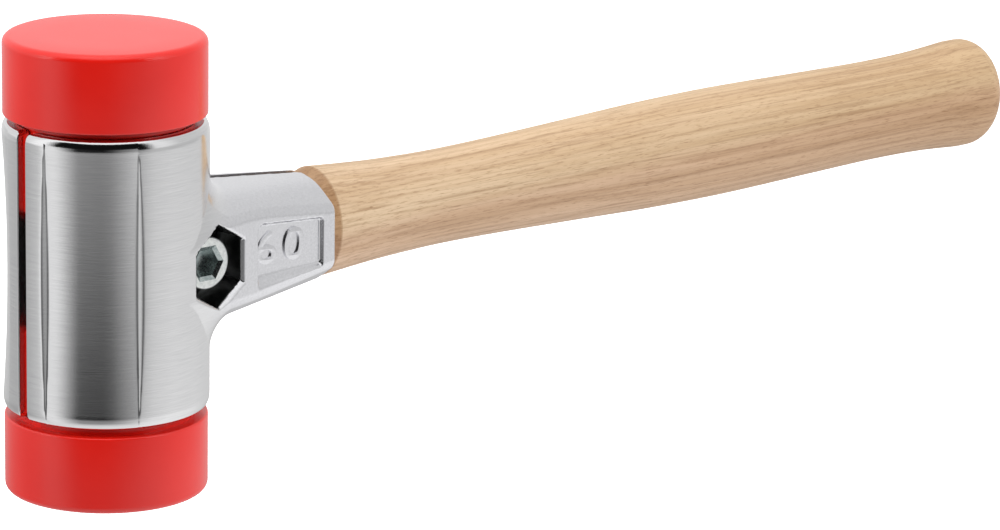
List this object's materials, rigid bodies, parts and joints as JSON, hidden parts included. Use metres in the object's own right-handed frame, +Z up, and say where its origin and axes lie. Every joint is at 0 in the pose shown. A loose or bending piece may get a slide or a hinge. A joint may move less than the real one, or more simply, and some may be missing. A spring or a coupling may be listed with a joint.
{
  "type": "soft-face mallet",
  "caption": "Soft-face mallet: split metal housing clamped by a socket-head screw round replaceable red plastic striking faces and an oval wooden handle.",
  "frame": {"origin": "centre of the lower striking face", "axes": "+Z up along the head from the lower to the upper striking face, +X from the head along the handle, the screw head on the -Y side"},
  "size_m": [0.4019, 0.061, 0.1369],
  "materials": {
    "housing_metal": "bare bright metal, polished with fine crosswise brush lines",
    "face_plastic": "smooth red moulded plastic with a soft gloss",
    "zinc_steel": "zinc-plated steel",
    "handle_wood": "pale straight-grained hardwood, sanded and lightly oiled"
  },
  "bodies": {
    "housing": {"housing_screw_side": "housing_metal", "screw_washer": "zinc_steel"},
    "clamp_half": {"housing_nut_side": "housing_metal", "clamp_nut": "zinc_steel"},
    "screw": {"clamp_screw": "zinc_steel"},
    "upper_face": {"upper_face": "face_plastic"},
    "lower_face": {"lower_face": "face_plastic"},
    "handle": {"handle": "handle_wood"}
  },
  "joints": [
    {"name": "screw_turn", "type": "hinge", "parent": "housing", "child": "screw", "pos_m": [0.0223, -0.00985, 0.06845], "axis": [0, -1, 0], "range_deg": [0, 1800]},
    {"name": "clamp_open", "type": "slide", "parent": "housing", "child": "clamp_half", "axis": [0, 1, 0], "range_m": [0, 0.0075]},
    {"name": "upper_face_pull", "type": "slide", "parent": "housing", "child": "upper_face", "axis": [0, 0, 1], "range_m": [0, 0.03]},
    {"name": "lower_face_pull", "type": "slide", "parent": "housing", "child": "lower_face", "axis": [0, 0, -1], "range_m": [0, 0.03]},
    {"name": "handle_pull", "type": "slide", "parent": "housing", "child": "handle", "axis": [1, 0, 0], "range_m": [0, 0.04]}
  ],
  "couplings": [
    {"joint": "screw_turn", "follows": "clamp_open", "rad_per_m": 4188.8}
  ]
}
